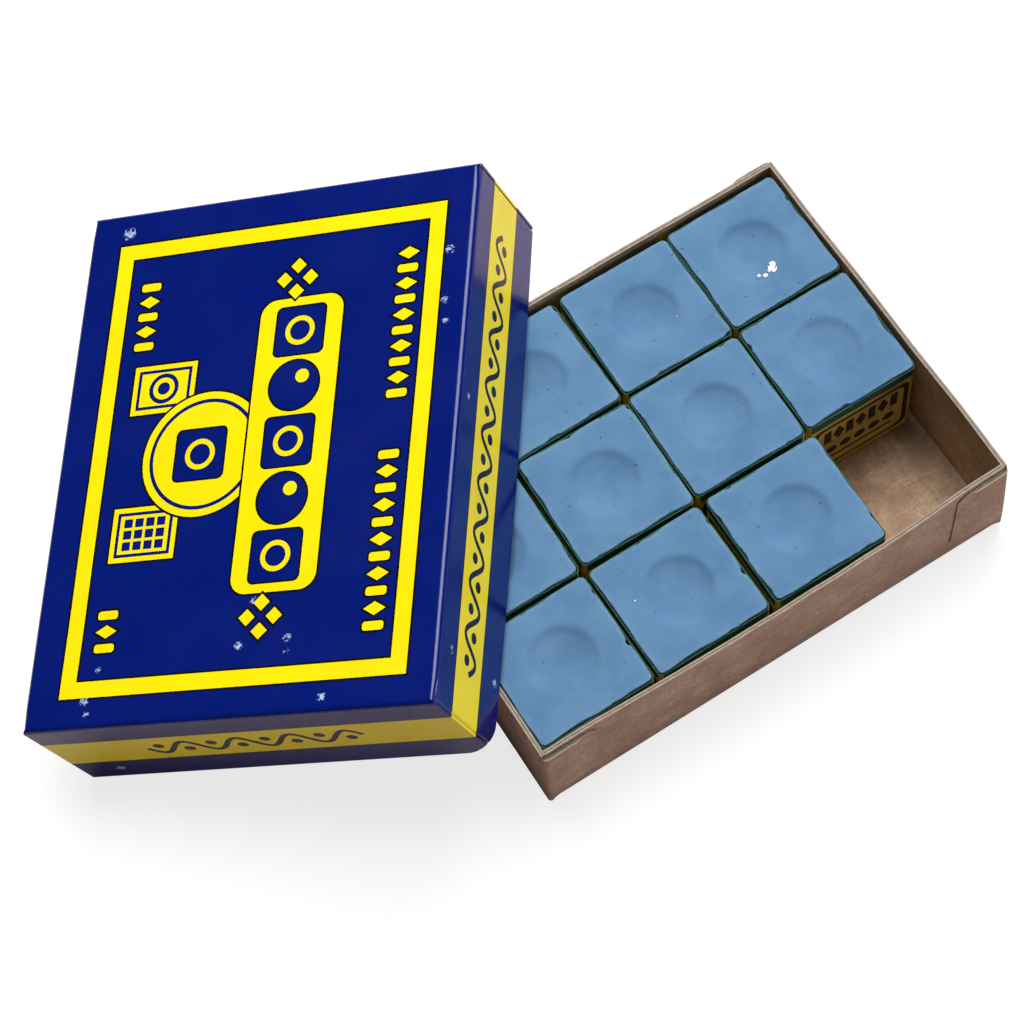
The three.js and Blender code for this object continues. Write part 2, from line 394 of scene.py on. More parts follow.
def thick_sheet(flat, faces, inks, fold, thickness, rim_ink, inner_ink):
    """A sheet's outer face, its inner face and the cut edge round it, except where rim_ink gives None."""
    count = len(flat)
    verts = [fold(u, v, 0.0) for u, v in flat] + [fold(u, v, thickness) for u, v in flat]
    all_faces = [tuple(f) for f in faces] + [tuple(c + count for c in f[::-1]) for f in faces]
    slots = list(inks) + [inner_ink] * len(faces)
    ways = {(f[k], f[k - 2]): ink for f, ink in zip(faces, inks) for k in range(3)}
    for (i, j), edge_ink in ways.items():
        if (j, i) not in ways:
            slot = rim_ink(flat[i], flat[j], edge_ink)
            if slot is not None:
                all_faces.append((j, i, i + count, j + count))
                slots.append(slot)
    depth = [0.0] * count + [1.0] * count
    return verts, all_faces, slots, depth


def painted(middles, shapes, inks):
    """Each triangle's ink: that of the last shape it lies in, or the first ink."""
    found = np.zeros(len(middles), int)
    for ink_name, path in shapes:
        found[inside(middles, path)] = inks.index(ink_name)
    return found


# ------------------------------------------------------------------ reading the frame


def square_axes(node):
    """The directions of a boxy node's flat faces: x nearest the frame's x, and z nearest up."""
    found = []
    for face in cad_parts[node].data.polygons:
        for entry in found:
            if abs(entry[0].dot(face.normal)) > PARALLEL:
                entry[1] += face.area
                break
        else:
            found.append([face.normal.copy(), face.area])
    axes = [entry[0] for entry in sorted(found, key=lambda entry: -entry[1])[:3]]
    up = max(axes, key=lambda axis: abs(axis.z))
    right = max((axis for axis in axes if axis is not up), key=lambda axis: abs(axis.x))
    z = up * math.copysign(1, up.z)
    x = right * math.copysign(1, right.x)
    x = (x - z * x.dot(z)).normalized()
    return x, z.cross(x), z


def node_place(node):
    """A node's own axes with their origin at the middle of its underside, and its size in millimetres."""
    axes = square_axes(node)
    corners = [[v.co.dot(axis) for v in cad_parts[node].data.vertices] for axis in axes]
    low = [min(c) for c in corners]
    high = [max(c) for c in corners]
    at = ((low[0] + high[0]) / 2, (low[1] + high[1]) / 2, low[2])
    turn = Matrix(axes).transposed().to_4x4()
    origin = sum((axis * value for axis, value in zip(axes, at)), Vector())
    return Matrix.Translation(origin) @ turn, [(h - l) / MM for l, h in zip(low, high)]


# ------------------------------------------------------------------ folded cartons


def smooth(value, low, high):
    """Rises smoothly from 0 to 1 as value goes from low to high."""
    t = min(max((value - low) / (high - low), 0.0), 1.0)
    return t * t * (3 - 2 * t)


def in_wall(value, half):
    """How far a place belongs to the wall at half, from 0 to 1."""
    return smooth(value, half - WALL_START, half - WALL_FULL)


def round_fold(start, distance, depth):
    """Where a point lies across a fold: its place past the fold's start, and its height."""
    if distance < BEND:
        turn = distance / FOLD
        return start + (FOLD - depth) * math.sin(turn), (FOLD - depth) * math.cos(turn) - FOLD
    return start + FOLD - depth, BEND - FOLD - distance


class Carton:
    """One flat blank folded into an open box. The walls at plus and minus u carry the glue ears, and the
    walls at plus and minus v are plain. The panel's outer face is at height 0 and the walls hang down."""

    def __init__(self, half_u, half_v, height, board, carrier_end, plain_end, ear_plane, ear):
        self.board = board
        self.ear_fold = board + 0.1
        self.ear_bend = self.ear_fold * math.pi / 2
        self.a = half_u - FOLD
        self.b = half_v - FOLD
        self.height = height
        self.reach = BEND + height - FOLD
        self.carrier_end = carrier_end
        self.plain_end = plain_end
        self.ear_start = ear_plane - self.ear_fold
        self.ear = [(self.down(drop), self.along(reach)) for drop, reach in ear]

    def down(self, drop):
        """Distance from the fold line to a point on a wall, given its drop below the panel."""
        return BEND + drop - FOLD

    def along(self, reach):
        """Distance along the blank to a point on an ear, given its reach from the corner."""
        return self.ear_start + self.ear_bend + reach - self.ear_fold

    def corner(self):
        """The outline round one corner, from the carrier wall's rim to the plain wall's."""
        a, b = self.a, self.b
        rows = [BEND * k / FOLD_STEPS for k in range(FOLD_STEPS + 1)]
        mitre = [MITRE * FOLD * math.sin(row / FOLD) for row in rows]
        path = [(a + self.reach, self.carrier_end)]
        path.append((a + self.ear[0][0], self.carrier_end))
        path += [(a + distance, v) for distance, v in self.ear]
        path.append((a + self.ear[-1][0], self.carrier_end))
        path += [(a + row, min(b + m, self.carrier_end)) for row, m in zip(rows[::-1], mitre[::-1])]
        path += [(min(a + m, self.plain_end), b + row) for row, m in zip(rows[1:], mitre[1:])]
        path.append((self.plain_end, b + self.reach))
        return path

    def outline(self):
        quarter = self.corner()
        path = list(quarter)
        path += [(-u, v) for u, v in quarter[::-1]]
        path += [(-u, -v) for u, v in quarter]
        path += [(u, -v) for u, v in quarter[::-1]]
        return path

    def fold_lines(self):
        a, b = self.a, self.b
        rows = [-GUARD] + [BEND * k / FOLD_STEPS for k in range(FOLD_STEPS + 1)] + [BEND + GUARD]
        lines = []
        for row in rows:
            m = MITRE * FOLD * math.sin(min(max(row, 0), BEND) / FOLD)
            v_end, u_end = min(b + m, self.carrier_end), min(a + m, self.plain_end)
            for side in (-1, 1):
                lines.append([(side * (a + row), -v_end), (side * (a + row), v_end)])
                lines.append([(-u_end, side * (b + row)), (u_end, side * (b + row))])
        foot, top = self.ear[-1][0], self.ear[0][0]
        for k in range(-1, FOLD_STEPS + 2):
            v = self.ear_start + self.ear_bend * k / FOLD_STEPS
            low, high = (BEND, self.reach) if v < self.carrier_end else (foot, top)
            for side_u in (-1, 1):
                for side_v in (-1, 1):
                    lines.append([(side_u * (a + low), side_v * v), (side_u * (a + high), side_v * v)])
        return lines

    def fold(self, u, v, depth):
        """Where a point of the flat blank lies in the folded box. Depth goes in from the outer face."""
        across, along = abs(u) - self.a, abs(v) - self.b
        plain = along > across and abs(u) < self.plain_end + SLACK
        if across > 0 and not plain:
            along, depth = self.bent_ear(across, abs(v), depth)
            x, z = round_fold(self.a, across, depth)
            return math.copysign(x, u), math.copysign(along, v), z
        if along > 0:
            y, z = round_fold(self.b, along, depth)
            return u, math.copysign(y, v), z
        return u, v, -depth

    def bent_ear(self, across, along, depth):
        """Bends the end of a carrier wall round the corner, as far as its own fold has turned."""
        past = along - self.ear_start
        if past <= 0:
            return along, depth
        radius = self.ear_fold
        turn = min(past / radius, math.pi / 2)
        bent = self.ear_start + (radius - depth) * math.sin(turn)
        inward = radius - (radius - depth) * math.cos(turn) + max(0.0, past - self.ear_bend)
        share = smooth(across, 0, BEND)
        return along + (bent - along) * share, depth + (inward - depth) * share

    def laid_flat(self, x, y, z):
        """Where a point of the folded box's outer face lies on the flat blank."""
        drop = -z
        if drop > FOLD and self.a + FOLD - abs(x) < self.b + FOLD - abs(y):
            return math.copysign(self.a + self.down(drop), x), y
        if drop > FOLD:
            return x, math.copysign(self.b + self.down(drop), y)
        return x, y

    def build(self, name, place, shapes, inks, materials, rim_ink, bend, wear_and_painted_light, rings=()):
        """Folds the blank, bends it a little out of true and paints its inks."""
        paths = [path for _, path in shapes]
        flat, faces, middles = triangulated(self.outline(), self.fold_lines() + list(rings), paths, GRID)
        slots = painted(middles, shapes, inks)

        def placed(u, v, depth):
            return bend(*self.fold(u, v, depth))

        inner = inks.index("inside")
        verts, faces, slots, depth = thick_sheet(flat, faces, slots, placed, self.board, rim_ink, inner)
        attributes = {"depth": depth, "wear_and_painted_light": [wear_and_painted_light(*v) for v in verts]}
        return piece(name, verts, faces, slots, materials, attributes, place)


# ------------------------------------------------------------------ tray

# Each glue ear's outline: heights above the underside, and reaches from the corner
TRAY_EAR = ((22.4, 9.0), (21.2, 10.6), (5.8, 11.2), (1.6, 2.0))
EAR_REACH = max(reach for _, reach in TRAY_EAR)
# How much of the gap under an ear is pressed out at its free edge
EAR_PRESS = 0.75


def bent_tray(x, y, z, half_length, half_width, height):
    """The tray out of true. Its long walls ripple at the rim and bow outwards between the ears, its end walls
    lean in, and the free edges of its ears are pressed down on the walls. The blank is folded upside down,
    so z runs from 0 at the underside to -height at the rim."""
    rise = min(max(-z / height, 0.0), 1.0)
    lift = abs(y) - half_width
    if lift > 0:
        tops, reaches = zip(*TRAY_EAR[::-1])
        free_edge = np.interp(-z, tops, reaches) - (half_length - abs(x))
        y -= math.copysign(EAR_PRESS * lift * smooth(free_edge, 2.4, 0.2), y)
    wall = in_wall(abs(y), half_width) * rise ** 1.5
    mid = math.cos(min(abs(x) / (half_length - EAR_REACH), 1.0) * math.pi / 2)
    if y > 0:
        y += wall * (0.7 * mid - 0.5 * smooth(x, 0.5 * half_length, half_length) - 0.2)
    else:
        y -= wall * (0.35 * mid - 0.1)
    ripple = noise.noise(Vector((x * 0.09, y * 0.03, 4.0))) * 0.16 * wall
    end = in_wall(abs(x), half_length) * rise ** 1.5
    x -= math.copysign(end * (0.25 + 0.2 * noise.noise(Vector((y * 0.07, x, 9.0)))), x)
    return x, y - math.copysign(abs(ripple), y), z


def make_tray():
    place, (length, width, height) = node_place("tray")
    half_length = length / 2
    half_width = width / 2 - TRAY_BOARD
    blank = Carton(
        half_length, half_width - SLACK, height, TRAY_BOARD,
        carrier_end=half_width - SLACK, plain_end=half_length - TRAY_BOARD - SLACK,
        ear_plane=half_width + TRAY_BOARD, ear=TRAY_EAR,
    )
    inks = ("outside", "inside", "cut")
    materials = [
        board("tray_outside_board", srgb(188, 162, 145), srgb(156, 130, 115), srgb(136, 110, 96)),
        board("tray_inside_board", srgb(190, 163, 138), srgb(156, 129, 106), srgb(134, 106, 85)),
        cut_board("tray_cut_edge", srgb(160, 147, 133), srgb(70, 54, 44)),
    ]

    def bend(x, y, z):
        return bent_tray(x, y, z, half_length, half_width, height)

    def wear_and_painted_light(x, y, z):
        # Painted shade: the board is darkened along the folds at the foot of the end walls.
        near_fold = smooth(-z, 3.0, 0.0) * smooth(abs(x), half_length - 6, half_length)
        return 0.5 * near_fold

    def rim_ink(start, end, edge_ink):
        return inks.index("cut")

    flip = place @ Matrix.Diagonal((1, -1, -1, 1))
    tray = blank.build("tray_card", flip, [], inks, materials, rim_ink, bend, wear_and_painted_light)
    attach(tray, "tray")
    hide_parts("tray")


# ------------------------------------------------------------------ lid print

# Places from the middle of the lid's top. Boxes are x0, y0, x1, y1
STAMPS = ((-25.5, -19.4, -13.0, -9.4), (-25.0, 8.1, -12.8, 17.4))
PLAQUE = (-1.4, -27.2, 14.4, 27.2)
# x, y and radius
MEDALLION = (-9.6, -0.6, 11.6)
# Each row's x, its y from and to, and how many bars and lozenges it holds
SIDE_ROWS = ((-24.1, -36.2, -27.3, 3), (-24.1, 20.0, 34.6, 5), (25.6, -36.2, -3.0, 11), (25.9, 5.2, 34.5, 10))
CLUSTERS = ((4.9, -31.4), (4.9, 31.0))
# The running wave on the bands: its rough pitch, its height above and below the middle, its line's width,
# and the dots between its crests
WAVE_PITCH = 9.0
WAVE_HEIGHT = 2.3
WAVE_LINE = 1.0
WAVE_DOT = 1.0


def grown(path, by):
    """A closed path moved outwards by a small distance; it runs anticlockwise."""
    out = []
    for k, (x, y) in enumerate(path):
        x0, y0 = path[k - 1]
        x1, y1 = path[(k + 1) % len(path)]
        first = Vector((y - y0, x0 - x)).normalized()
        second = Vector((y1 - y, x - x1)).normalized()
        corner = first + second
        scale = by / max(0.3, (1 + first.dot(second)))
        out.append((x + corner.x * scale, y + corner.y * scale))
    return out


def outlined(path, ink_name="yellow"):
    return [("keyline", grown(path, OUTLINE)), (ink_name, path)]


def border_shapes():
    x0, y0, x1, y1 = BORDER
    w = BORDER_WIDTH
    inner = (x0 + w, y0 + w, x1 - w, y1 - w)
    shapes = outlined(box_path(*BORDER))
    x0, y0, x1, y1 = inner
    shapes.append(("keyline", box_path(*inner)))
    shapes.append(("blue", box_path(x0 + OUTLINE, y0 + OUTLINE, x1 - OUTLINE, y1 - OUTLINE)))
    return shapes


def row_shapes(x, y0, y1, count):
    """A row of upright bars and lozenges, as an ornament."""
    shapes = []
    step = (y1 - y0) / count
    for k in range(count):
        y = y0 + (k + 0.5) * step
        if k % 2:
            shapes += outlined(lozenge_path(x, y, 2.0, step * 0.4))
        else:
            shapes += outlined(round_box_path(x - 1.9, y - step * 0.26, x + 1.9, y + step * 0.26, 0.5, 3))
    return shapes


def stamp_shapes(x0, y0, x1, y1, rings):
    """A small framed picture: a dozen cubes from above, or the rings of a target."""
    shapes = outlined(box_path(x0, y0, x1, y1))
    shapes.append(("blue", box_path(x0 + 0.9, y0 + 0.9, x1 - 0.9, y1 - 0.9)))
    shapes.append(("yellow", box_path(x0 + 1.5, y0 + 1.5, x1 - 1.5, y1 - 1.5)))
    cx, cy = (x0 + x1) / 2, (y0 + y1) / 2
    if rings:
        for k, radius in enumerate((2.9, 2.1, 1.2)):
            shapes.append(("yellow" if k % 2 else "blue", disc_path(cx, cy, radius, 24)))
        return shapes
    for i in range(4):
        for j in range(3):
            x, y = cx + (i - 1.5) * 2.1, cy + (j - 1) * 2.1
            shapes.append(("blue", box_path(x - 0.8, y - 0.8, x + 0.8, y + 0.8)))
    return shapes


def cube_shapes(x, y, half):
    """A chalk cube seen from above, knocked out of the yellow."""
    low = (x - half - KNOCKED_LINE, y - half - KNOCKED_LINE)
    high = (x + half + KNOCKED_LINE, y + half + KNOCKED_LINE)
    shapes = [("keyline", round_box_path(*low, *high, 1.2))]
    shapes.append(("blue", round_box_path(x - half, y - half, x + half, y + half, 1.0)))
    shapes.append(("yellow", disc_path(x, y, half * 0.62)))
    shapes.append(("blue", disc_path(x, y, half * 0.42)))
    return shapes


def ball_shapes(x, y, radius):
    """A billiard ball with its highlight, knocked out of the yellow."""
    shapes = [("keyline", disc_path(x, y, radius + KNOCKED_LINE)), ("blue", disc_path(x, y, radius))]
    shapes.append(("yellow", disc_path(x + radius * 0.3, y + radius * 0.35, radius * 0.28, 20)))
    return shapes


def emblem_shapes():
    """A medallion with a plaque beside it that holds a row of cubes and balls."""
    x, y, radius = MEDALLION
    shapes = outlined(disc_path(x, y, radius, 64))
    shapes.append(("blue", disc_path(x, y, radius - 1.3, 60)))
    shapes.append(("yellow", disc_path(x, y, radius - 2.0, 60)))
    shapes += cube_shapes(x - 0.6, y, 4.6)
    x0, y0, x1, y1 = PLAQUE
    shapes += outlined(round_box_path(x0, y0, x1, y1, 3.0, 8))
    cx = (x0 + x1) / 2
    count = 5
    step = (y1 - y0 - 2.4) / count
    for k in range(count):
        cy = y0 + 1.2 + (k + 0.5) * step
        shapes += ball_shapes(cx, cy, 4.6) if k % 2 else cube_shapes(cx, cy, 4.5)
    return shapes


def cluster_shapes(x, y):
    shapes = []
    for dx, dy in ((-2.5, 0), (2.5, 0), (0, -2.5), (0, 2.5)):
        shapes += outlined(lozenge_path(x + dx, y + dy, 1.5, 1.5))
    return shapes


def wave_points(start, end, step=0.6):
    """The middle line of the running wave on a wall's band."""
    count = int((end - start) / step)
    pitch = (end - start) / round((end - start) / WAVE_PITCH)
    points = []
    for k in range(count + 1):
        at = start + (end - start) * k / count
        points.append((at, WAVE_HEIGHT * math.sin(2 * math.pi * (at - start) / pitch)))
    return points, pitch


def band_shapes(turned, side, fold_line, half_run, half_wave):
    """The yellow band across one wall, with a dark running wave and dots along it."""

    def laid(path):
        out = [(fold_line + down, along) for along, down in path]
        out = [(side * u, v) for u, v in out]
        return [(v, u) for u, v in out] if turned else out

    top, bottom = BEND - FOLD + BAND_TOP, BEND - FOLD + BAND_BOTTOM
    middle = (top + bottom) / 2
    shapes = [("keyline", laid(box_path(-half_run, top - OUTLINE, half_run, bottom + OUTLINE)))]
    shapes.append(("yellow", laid(box_path(-half_run, top, half_run, bottom))))
    points, pitch = wave_points(-half_wave, half_wave)
    wave = [(at, middle + down) for at, down in points]
    shapes.append(("keyline", laid(stroke_path(wave, WAVE_LINE))))
    crest = -half_wave + pitch / 4
    while crest < half_wave:
        for along, down in ((0, -WAVE_DOT), (pitch / 2, WAVE_DOT)):
            shapes.append(("keyline", laid(disc_path(crest + along, middle + down, WAVE_DOT, 16))))
        crest += pitch
    return shapes


def lid_shapes(blank):
    shapes = border_shapes()
    for row in SIDE_ROWS:
        shapes += row_shapes(*row)
    shapes += stamp_shapes(*STAMPS[0], rings=False)
    shapes += stamp_shapes(*STAMPS[1], rings=True)
    shapes += emblem_shapes()
    for place in CLUSTERS:
        shapes += cluster_shapes(*place)
    for side in (-1, 1):
        shapes += band_shapes(False, side, blank.a, blank.b + 40, 40.0)
        shapes += band_shapes(True, side, blank.b, blank.plain_end + 2, 20.0)
    return shapes


# ------------------------------------------------------------------ lid

# Rubbed places: x, y and height on the lid, and how far each reaches
SCUFFS = (
    (-30, 44.6, 0, 3.4), (33.6, 32.5, 0, 2.2), (33.5, 23, 0, 2.0), (33.8, 19, 0, 1.6), (-26.4, -44, 0, 2.2),
    (-25.7, -46.4, 0, 1.8), (1.4, -36.2, 0, 2.0), (3.5, -28.5, 0, 1.8), (10.3, -35.5, 0, 2.0),
    (10.5, -38, 0, 1.6), (17.7, -46.3, 0, 2.0), (-24.5, -38.6, 0, 1.6), (37.9, -38, -4.5, 2.0),
    (37.9, -37.8, -21.8, 2.2), (37.9, 6, -3.0, 1.6), (-30, -48.9, -20, 2.5),
)
# The near corner is pressed round at the rim: the radius there, and how far up it reaches
CRUSH = 4.5
CRUSH_HEIGHT = 8.5


def bent_lid(x, y, z, half_width, half_length, height):
    """The lid out of true: its right wall bows out, the near corner is pressed round and the top sags."""
    drop = -z / height
    wall = in_wall(x, half_width)
    mid = max(0.0, math.cos(math.pi * y / (2 * half_length)))
    x += wall * 0.5 * drop ** 2 * mid
    radius = CRUSH * smooth(-z, height - CRUSH_HEIGHT, height)
    to_centre = Vector((half_width - radius - x, y + half_length - radius))
    if radius > 0 and to_centre.x < 0 and to_centre.y < 0:
        depth = radius + min(to_centre)
        arc = to_centre.normalized() * (radius - depth)
        x, y = half_width - radius - arc.x, arc.y - half_length + radius
    flat = smooth(-z, 4.0, 0.0) * smooth(half_width - abs(x), 0, 14) * smooth(half_length - abs(y), 0, 14)
    z -= flat * (0.18 + 0.16 * noise.noise(Vector((x * 0.05, y * 0.05, 2.0))))
    return x, y, z


def make_lid():
    place, (width, length, height) = node_place("lid")
    half_width, half_length = width / 2 - SLACK, length / 2 - SLACK
    height -= SLACK / 2
    inner = half_length - LID_BOARD - SLACK
    ear = [(height - 1.2, 14.0), (FOLD + 1.2, 14.0)]
    blank = Carton(
        half_width, half_length, height, LID_BOARD,
        carrier_end=inner, plain_end=half_width - SLACK, ear_plane=inner, ear=ear,
    )
    inks = ("blue", "yellow", "keyline", "inside", "cut")
    materials = [
        ink("lid_blue_ink", srgb(0, 22, 110), 0.17),
        ink("lid_yellow_ink", srgb(247, 226, 4), 0.2),
        ink("lid_dark_line", srgb(8, 10, 22), 0.18),
        board("lid_inside_board", srgb(190, 180, 164), srgb(160, 148, 130), srgb(142, 128, 110)),
        cut_board("lid_cut_edge", srgb(186, 182, 180), srgb(120, 112, 108)),
    ]

    def rim_ink(start, end, edge_ink):
        """The raw edge shows at the rims. Elsewhere the ink runs over it."""
        rim_u, rim_v = blank.a + blank.reach - 0.1, blank.b + blank.reach - 0.1
        at_rim = [abs(u) > rim_u or abs(v) > rim_v for u, v in (start, end)]
        return inks.index("cut") if all(at_rim) else edge_ink

    def bend(x, y, z):
        return bent_lid(x, y, z, half_width, half_length, height)

    def wear_and_painted_light(x, y, z):
        worn_and_edge_lit = 0.0
        for sx, sy, sz, reach in SCUFFS:
            away = math.dist((x, y, z), (sx, sy, sz))
            worn_and_edge_lit = max(worn_and_edge_lit, smooth(away, reach, 0.2 * reach))
        # Along the folds and corners these values also darken the inside board, as painted shade.
        edges = (half_width - abs(x) < 1.3, half_length - abs(y) < 1.3, -z < 1.3)
        return max(worn_and_edge_lit, 0.62 if sum(edges) == 3 else 0.5 if sum(edges) == 2 else 0.0)

    rings = []
    for x, y, z, reach in SCUFFS:
        u, v = blank.laid_flat(x, y, z)
        rings += [disc_path(u, v, reach * share, 9) for share in (0.1, 0.4, 0.7, 1.0)]
    top = place @ Matrix.Translation((0, 0, (height + SLACK / 2) * MM))
    lid = blank.build("lid_card", top, lid_shapes(blank), inks, materials, rim_ink, bend, wear_and_painted_light, rings)
    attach(lid, "lid")
    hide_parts("lid")


# ------------------------------------------------------------------ labels


def round_square(half, radius, distance):
    """A point of a square with round corners and its outward direction, by distance round it."""
    side = 2 * (half - radius)
    arc = radius * math.pi / 2
    quarter, rest = divmod(distance, side + arc)
    if rest < side:
        point, outward = Vector((half, rest - side / 2)), Vector((1, 0))
    else:
        turn = (rest - side) / radius
        outward = Vector((math.cos(turn), math.sin(turn)))
        point = Vector((half - radius, half - radius)) + outward * radius
    turned = Matrix.Rotation(-quarter * math.pi / 2, 2)
    return point @ turned, outward @ turned


def label_shapes(side, pitch, height):
    """The print on a label's four sides, laid out flat: a green head, a yellow ground and a framed panel."""
    shapes = []
    run = 4 * pitch
    foot = height - GREEN_HEAD
    head = [(-2, foot)]
    head += [(x, foot + 0.1 * math.sin(x * 0.9)) for x in np.linspace(0, run, 80)]
    head += [(run + 2, foot), (run + 2, height + 2), (-2, height + 2)]
    shapes.append(("green", head))
    for k in range(4):
        x = k * pitch + side / 2
        for inset, ink_name in ((1.3, "dark"), (2.3, "yellow")):
            left, right = x - side / 2 - 1.2 + inset, x + side / 2 + 1.2 - inset
            frame_path = round_box_path(left, 0.6 + inset * 0.7, right, height - 2.4 - inset, 1.6, 4)
            shapes.append((ink_name, frame_path))
        for i in range(7):
            cx = x + (i - 3) * 2.3
            if i % 2:
                shapes.append(("dark", lozenge_path(cx, 13.4, 1.15, 2.6)))
            else:
                shapes.append(("dark", box_path(cx - 0.75, 11.1, cx + 0.75, 15.7)))
        for i in range(5):
            shapes.append(("dark", disc_path(x + (i - 2) * 3.0, 7.6, 1.25, 14)))
        shapes.append(("dark", box_path(x - 6.8, 4.3, x + 6.8, 5.1)))
        corner = x + side / 2 + (pitch - side) / 2
        shapes.append(("yellow", box_path(corner - 0.5, height - 3.4, corner + 0.5, height + 2)))
    return shapes


def make_label(place_name, materials):
    node = f"label_{place_name}"
    place, (width, _, height) = node_place(node)
    phase = random.Random(place_name).uniform(0, 100)
    half = width / 2 + SWELL
    side = 2 * (half - LABEL_CORNER)
    pitch = side + LABEL_CORNER * math.pi / 2
    run = 4 * pitch
    outline = box_path(0, 0, run, height)
    inks = ("yellow", "green", "dark", "inside", "cut")
    shapes = label_shapes(side, pitch, height)
    lines = []
    for k in range(4):
        for step in range(CORNER_STEPS + 1):
            at = k * pitch + side + LABEL_CORNER * math.pi / 2 * step / CORNER_STEPS
            if at < run:
                lines.append([(at, 0), (at, height)])
    flat, faces, middles = triangulated(outline, lines, [path for _, path in shapes], LABEL_GRID)
    slots = painted(middles, shapes, inks)
    last = {round(v, 3): i for i, (u, v) in enumerate(flat) if abs(u) < 1e-3}
    joined = np.arange(len(flat))
    for i, (u, v) in enumerate(flat):
        if abs(u - run) < 1e-3 and round(v, 3) in last:
            joined[i] = last[round(v, 3)]
    faces = joined[faces]

    def fold(u, v, inward):
        point, outward = round_square(half, LABEL_CORNER, u % run)
        rise = smooth(v, height - 5, height)
        tear = 0.16 * noise.noise(Vector((point.x * 0.8, point.y * 0.8, phase)))
        v -= rise * (0.16 + tear + 0.35 * max(0.0, noise.noise(Vector((point.x, point.y, phase + 7))) - 0.35))
        point -= outward * (inward + 0.02)
        return point.x, point.y, max(v, inward)

    def rim_ink(start, end, edge_ink):
        """Only the top edge is cut. The foot goes on under the block."""
        return inks.index("cut") if start[1] + end[1] > height else None

    count = len(flat)
    inner = inks.index("inside")
    foot = sorted((i for i in set(joined) if flat[i][1] < 1e-3), key=lambda i: flat[i][0])
    verts, faces, slots, ply = thick_sheet(flat, faces, slots, fold, PAPER, rim_ink, inner)
    verts += [(0, 0, 0), (0, 0, PAPER)]
    ply += [0.0, 1.0]
    for i, j in zip(foot, foot[1:] + foot[:1]):
        faces += [(j, i, 2 * count), (i + count, j + count, 2 * count + 1)]
        slots += [inks.index("yellow"), inner]
    label = piece(f"label_paper_{place_name}", verts, faces, slots, materials, {"depth": ply}, place)
    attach(label, f"cube_{place_name}")
    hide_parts(node)


# ------------------------------------------------------------------ chalk blocks

# Mesh points round a block, rings of them on its top and rings round its top edge
AROUND = 160
TOP_RINGS = 26
EDGE_RINGS = 5
# Rings down a block's sides: how far below its top, then how far above its foot, where the last is drawn in
SIDE_DROPS = (1.2, 2.6, 6.0)
FOOT_RISES = (0.5, 0.1)
FOOT_INSET = 0.4
# White flecks of chalk dust: the cube, then x and y on its top and how far each reaches
SPECKS = {
    "back_4": ((1.2, -4.3, 1.15), (1.8, -3.4, 0.7), (-0.6, -4.9, 0.6), (-1.5, -4.2, 0.45)),
    "back_3": ((4.6, -3.0, 0.3),),
    "front_2": ((-7.2, 2.5, 0.3),),
    "middle_3": ((6.0, 5.5, 0.35),),
}


def dimple(radius):
    """How far the dimple lies below the block's top, with its rim rounded over."""
    lens = max(0.0, 1 - (radius / DIMPLE_RADIUS) ** 2)
    return DIMPLE_DEPTH * lens * smooth(DIMPLE_RADIUS - radius, -0.2, 1.6)


